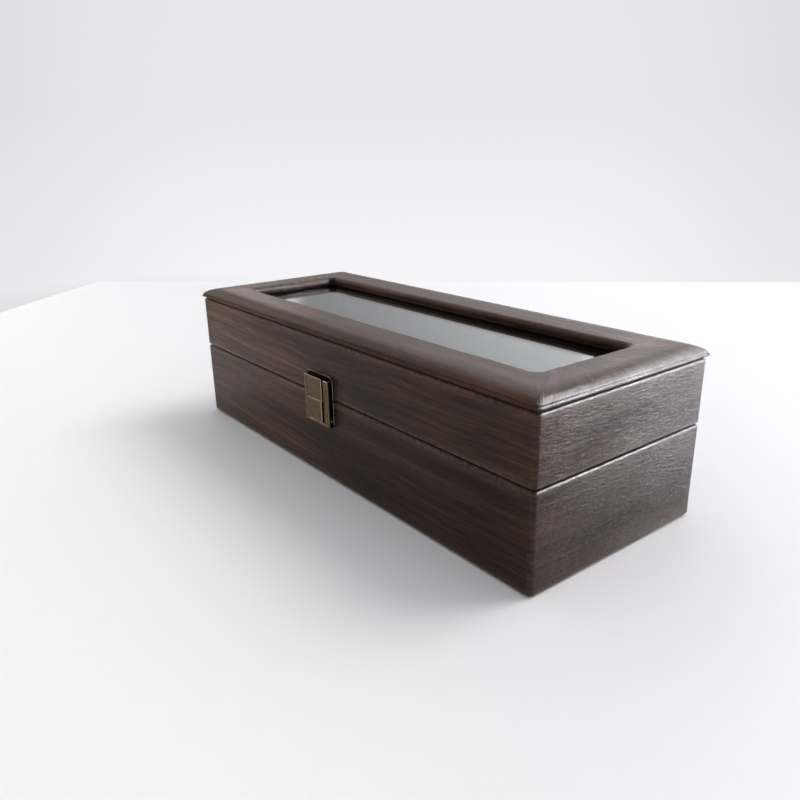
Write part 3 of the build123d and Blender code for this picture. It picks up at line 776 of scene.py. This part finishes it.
def stuffPillow(piece, number):  # cloth blown up by pressure, no point moving further than the cap
    start = [vertex.co.copy() for vertex in piece.data.vertices]
    cloth = piece.modifiers.new("stuffing", "CLOTH")
    cloth.settings.use_pressure = True
    firmness = (number * 2) % 5 - 2  # each pillow is filled a little differently
    cloth.settings.uniform_pressure_force = pillows["pressure"] + pillows["pressureStep"] * firmness
    cloth.settings.effector_weights.gravity = 0
    cloth.settings.quality = pillows["quality"]
    cloth.settings.tension_stiffness = pillows["tension"]
    cloth.settings.bending_stiffness = pillows["bending"]
    for step in range(1, pillows["frames"] + 1):
        scene.frame_set(step)
    bakeModifiers(piece)
    scene.frame_set(1)
    for vertex, before in zip(piece.data.vertices, start):
        move = vertex.co - before
        if move.length > 0:
            vertex.co = before + move.normalized() * min(move.length, pillows["cap"])


def sewPillow(piece, number, middle, half):  # a seam where each end panel joins, puckers beside it
    for vertex in piece.data.vertices:
        away = half.x - pillows["seamInset"] - abs(vertex.co.x - middle.x)
        close = max(0.0, 1 - abs(away) / pillows["seamWidth"])
        out = Vector((0, vertex.co.y - middle.y, vertex.co.z - middle.z)).normalized()
        ripple = noise.noise(vertex.co * pillows["puckerScale"] + Vector((number, 0, 0)))
        ripple *= max(0.0, 1 - abs(away) / pillows["puckerReach"])
        depth = pillows["seamDepth"] * close * close * (3 - 2 * close)
        vertex.co -= out * (depth + pillows["pucker"] * ripple)


def makePillow(number):
    name = f"pillow_{number}"
    low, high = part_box(name)
    middle, half = (low + high) / 2, (high - low) / 2
    mesh = nodes[name].data.copy()
    mesh.name = f"pillow{number}"
    mesh.materials.clear()
    for vertex in mesh.vertices:
        vertex.co = middle + (vertex.co - middle) * pillows["shrink"]
    piece = showMesh(f"pillow{number}", mesh, pillowVelvet, name, (name,))
    remesh = piece.modifiers.new("evenNet", "REMESH")
    remesh.mode, remesh.voxel_size = "VOXEL", pillows["voxel"]
    bakeModifiers(piece)
    stuffPillow(piece, number)
    fitInto(piece, low, high)
    smooth = piece.modifiers.new("finer", "SUBSURF")
    smooth.levels = smooth.render_levels = pillows["finer"]
    bakeModifiers(piece)
    sewPillow(piece, number, middle, half)
    fitInto(piece, low, high)
    piece.data.polygons.foreach_set("use_smooth", [True] * len(piece.data.polygons))


for number in range(1, pillows["count"] + 1):
    makePillow(number)
    print("pillow", number, "made")


# Latch, hinges and nails: fine edges on the CAD forms

fineEdges = {  # width of the worn edge in millimetres
    "latch_housing": 0.24, "latch_lever": 0.36, "latch_hook": 0.12,
    "latch_lid_plate": 0.30, "latch_base_plate": 0.30,
    "latch_lid_nails": 0.05, "latch_base_nails": 0.05, "latch_pivot_pin": 0.08,
    "base_hinge_leaf_left": 0.16, "base_hinge_leaf_right": 0.16, "lid_hinge_leaf_left": 0.16,
    "lid_hinge_leaf_right": 0.16, "base_hinge_nails": 0.05, "lid_hinge_nails": 0.05,
    "hinge_pin_left": 0.08, "hinge_pin_right": 0.08,
}
edgeWork = {"weld": 0.002 * mm, "flatAngle": 1.5, "sharpAngle": 32, "segments": 3}
owners = {name: body for body, names in frame["record"]["behaviour"]["bodies"].items() for name in names}


def fineMetal(node, width):
    mesh = nodes[node].data.copy()
    mesh.materials.clear()
    work = bmesh.new()
    work.from_mesh(mesh)
    bmesh.ops.remove_doubles(work, verts=work.verts, dist=edgeWork["weld"])
    flat = radians(edgeWork["flatAngle"])
    bmesh.ops.dissolve_limit(work, angle_limit=flat, verts=work.verts, edges=work.edges, delimit={"NORMAL"})
    work.to_mesh(mesh)
    work.free()
    if "custom_normal" in mesh.attributes:
        mesh.attributes.remove(mesh.attributes["custom_normal"])
    inShade = node.startswith("latch") and node.endswith(("_plate", "_hook", "_nails"))
    metal = darkBrass if inShade else agedBrassShadedSides
    piece = showMesh(pieceName(node), mesh, metal, owners[node], (node,))
    # the housing's bevels take patina and painted shade where they look sideways
    mesh.materials.append(endBrass if node == "latch_housing" else wornBrass)
    mesh.polygons.foreach_set("material_index", [0] * len(mesh.polygons))
    bevel = piece.modifiers.new("wornEdge", "BEVEL")
    bevel.width, bevel.segments, bevel.limit_method = width * mm, edgeWork["segments"], "ANGLE"
    bevel.angle_limit, bevel.material = radians(edgeWork["sharpAngle"]), 1
    bevel.use_clamp_overlap = node != "latch_housing"
    evenShading(piece)


for node, width in fineEdges.items():
    fineMetal(node, width)
print("metal made")


# Finishes for the parts that keep their CAD form, and for those that a piece stands for

finishes = {
    "glass_packing": greyCard, "glass_pane": clearGlass, "latch_springs": springSteel,
    "base_skin": leatherette, "lid_skin": leatherette, "frame_cover": leatherette, "frame_padding": padFoam,
    "lid_lining_frame": liningVelvet, "underside_felt": pressedFelt,
}


def finishFor(name):
    if name in finishes:
        return finishes[name]
    if name in fineEdges:
        return agedBrassShadedSides
    if name.startswith("pillow"):
        return pillowVelvet
    if name.endswith("_board"):
        return fibreboard
    if name.endswith("_rail"):
        return shadedGapBoard
    return liningVelvet  # dividers and lining panels


for name, node in nodes.items():
    if not node.material_slots:
        node.data.materials.append(finishFor(name))
    for place in node.material_slots:
        place.material = finishFor(name)
print("finishes given")


# Camera

view = {
    "place": (0.28716, -0.22551, 0.15723), "turn": 52.55, "down": 19.18, "roll": -1.11,
    "lens": 32.53, "sensor": 36.0, "clip": (0.01, 50),
}


def addCamera():
    data = bpy.data.cameras.new("photoCamera")
    data.lens, data.sensor_width, data.sensor_fit = view["lens"], view["sensor"], "HORIZONTAL"
    data.clip_start, data.clip_end = view["clip"]
    turn, down, roll = (radians(view[key]) for key in ("turn", "down", "roll"))
    ahead = Vector((-sin(turn) * cos(down), cos(turn) * cos(down), -sin(down)))
    right = Vector((cos(turn), sin(turn), 0))
    up = right.cross(ahead)
    right, up = right * cos(roll) + up * sin(roll), up * cos(roll) - right * sin(roll)
    camera = bpy.data.objects.new("photoCamera", data)
    scene.collection.objects.link(camera)
    camera.matrix_world = Matrix((right, up, -ahead)).transposed().to_4x4()
    camera.location = view["place"]
    scene.camera = camera


# Table, light and room

table = {
    "corner": (-0.705, 0.038), "back": (0.698, 0.716), "side": (0.690, -0.724), "size": (2.6, 2.6),
    "nearColour": (0.830, 0.830, 0.827), "farColour": (0.730, 0.736, 0.752),
    "fadeWay": (0.2, 1.0, 0), "fade": (-0.20, 0.02), "roughness": 0.55, "specular": 0.25,
    "cloud": ((3, 3, 3), 2), "cloudStops": ((0.3, 0.988), (0.7, 1.0)),
}
keyLight = {"from": (0.22, 0.60, 0.77), "angle": 31, "strength": 1.37, "colour": (1.0, 0.985, 0.965)}
room = {  # ways are directions, pairs after them are cosines where a change starts and ends
    "ambient": 0.785, "ambientColour": (0.98, 0.985, 1.0), "tint": (0.985, 0.985, 1.015),
    "wallLow": 0.935, "wallHigh": 0.825, "wallHeights": (-0.17, 0.05),
    "middleWay": (-0.79, 0.61, 0.0), "middle": (0.86, 0.985), "sideDim": 0.90,
    "leftWay": (-0.965, 0.19, -0.19), "left": (0.95, 0.985),
    "leftDim": 0.07, "leftHeights": (-0.145, -0.175),
    "backWay": (0.15, 0.97, 0.15), "back": (-0.35, 0.45), "backGlow": 0.47,
    "frontGlow": 0.12, "frontTint": (1.0, 0.84, 0.74),
    "sideWay": (0.40, 0.88, 0.30), "side": (0.80, 0.95), "windowTint": (0.95, 0.965, 1.06),
}
windows = (  # way, cosine where the glow begins, cosine where it is full, strength
    ((0.15, 0.85, 0.50), 0.36, 0.95, 1.3),
    ((0.37, 0.91, 0.13), 0.932, 0.988, 96.0),
    ((0.19, 0.81, 0.55), 0.935, 0.975, 27.0),
    ((-0.50, 0.50, 0.707), 0.88, 0.97, 1.2),
    ((-0.888, 0.433, 0.156), 0.9965, 0.9993, 1.2),
    ((-0.551, 0.803, 0.228), 0.9970, 0.9993, 2.2),
    ((-0.80, -0.25, 0.54), 0.85, 0.95, 1.25),
)


def addTable():
    corner, back, side = (Vector((*table[key], 0)) for key in ("corner", "back", "side"))
    alongBack, alongSide = back * table["size"][0], side * table["size"][1]
    points = [corner, corner + alongSide, corner + alongSide + alongBack, corner + alongBack]
    mesh = bpy.data.meshes.new("table")
    mesh.from_pydata(points, [], [(0, 1, 2, 3)])
    material, tree, shader = newMaterial("palePaint")
    place = add(tree, "TexCoord").outputs["Object"]
    # painted shade: the table's colour darkens from in front of the box to behind it and to the right,
    # toning down the light there
    far = fade(tree, along(tree, place, table["fadeWay"]), *table["fade"], soft=True)
    colour = blendColours(tree, "MIX", far, table["nearColour"], table["farColour"])
    cloud = ramp(tree, noiseOn(tree, place, *table["cloud"]), table["cloudStops"])
    colour = blendColours(tree, "MULTIPLY", 1.0, colour, cloud)
    wire(tree, shader, Base_Color=colour, Roughness=table["roughness"], Specular_IOR_Level=table["specular"])
    mesh.materials.append(material)
    floor = bpy.data.objects.new("table", mesh)
    scene.collection.objects.link(floor)


def addKeyLight():
    data = bpy.data.lights.new("windowLight", "SUN")
    data.angle = radians(keyLight["angle"])
    data.energy, data.color = keyLight["strength"], keyLight["colour"]
    lamp = bpy.data.objects.new("windowLight", data)
    scene.collection.objects.link(lamp)
    way = Vector(keyLight["from"]).normalized()
    lamp.location = way
    lamp.rotation_euler = way.to_track_quat("Z", "Y").to_euler()


def towards(tree, way, direction, start, end, low=0.0, high=1.0):  # a soft patch of the room
    close = along(tree, way, Vector(direction).normalized())
    return fade(tree, close, start, end, low, high, soft=True)


def seenWall(tree, way, height):  # pale wall, dimmer at the sides and beside the table
    wall = fade(tree, height, *room["wallHeights"], room["wallLow"], room["wallHigh"])
    sides = towards(tree, way, room["middleWay"], *room["middle"], room["sideDim"], 1.0)
    wall = calc(tree, "MULTIPLY", wall, sides)
    below = fade(tree, height, *room["leftHeights"], 0.0, room["leftDim"], soft=True)
    beside = towards(tree, way, room["leftWay"], *room["left"])
    wall = calc(tree, "SUBTRACT", wall, calc(tree, "MULTIPLY", below, beside))
    return add(tree, "Background", {0: (*room["tint"], 1), 1: wall}).outputs[0]


def mirroredRoom(tree, way):  # what gloss and glass show: a dim front, a grey back and soft windows
    back = towards(tree, way, room["backWay"], *room["back"])
    tint = blendColours(tree, "MIX", back, room["frontTint"], room["tint"])
    sideways = towards(tree, way, room["sideWay"], *room["side"])
    tint = blendColours(tree, "MIX", sideways, tint, room["windowTint"])
    glow = calc(tree, "MULTIPLY_ADD", back, room["backGlow"] - room["frontGlow"], room["frontGlow"])
    for direction, start, end, strength in windows:
        glow = calc(tree, "ADD", glow, towards(tree, way, direction, start, end, 0.0, strength))
    return add(tree, "Background", {0: tint, 1: glow}).outputs[0]


def addRoom():
    world = bpy.data.worlds.new("paleRoom")
    world.use_nodes = True
    scene.world = world
    tree = world.node_tree
    tree.nodes.clear()
    way = add(tree, "TexCoord").outputs["Generated"]
    height = add(tree, "SeparateXYZ", {0: way}).outputs[2]
    seen = seenWall(tree, way, height)
    mirrored = mirroredRoom(tree, way)
    around = add(tree, "Background", {0: (*room["ambientColour"], 1), 1: room["ambient"]}).outputs[0]
    path = add(tree, "LightPath")
    sharp = calc(tree, "MAXIMUM", path.outputs["Is Glossy Ray"], path.outputs["Is Transmission Ray"])
    light = add(tree, "MixShader", {0: sharp, 1: around, 2: mirrored}).outputs[0]
    light = add(tree, "MixShader", {0: path.outputs["Is Camera Ray"], 1: light, 2: seen}).outputs[0]
    add(tree, "OutputWorld", {0: light})


addCamera()
addTable()
addKeyLight()
addRoom()
scene.view_settings.view_transform = "Standard"
print("camera, light and table set")
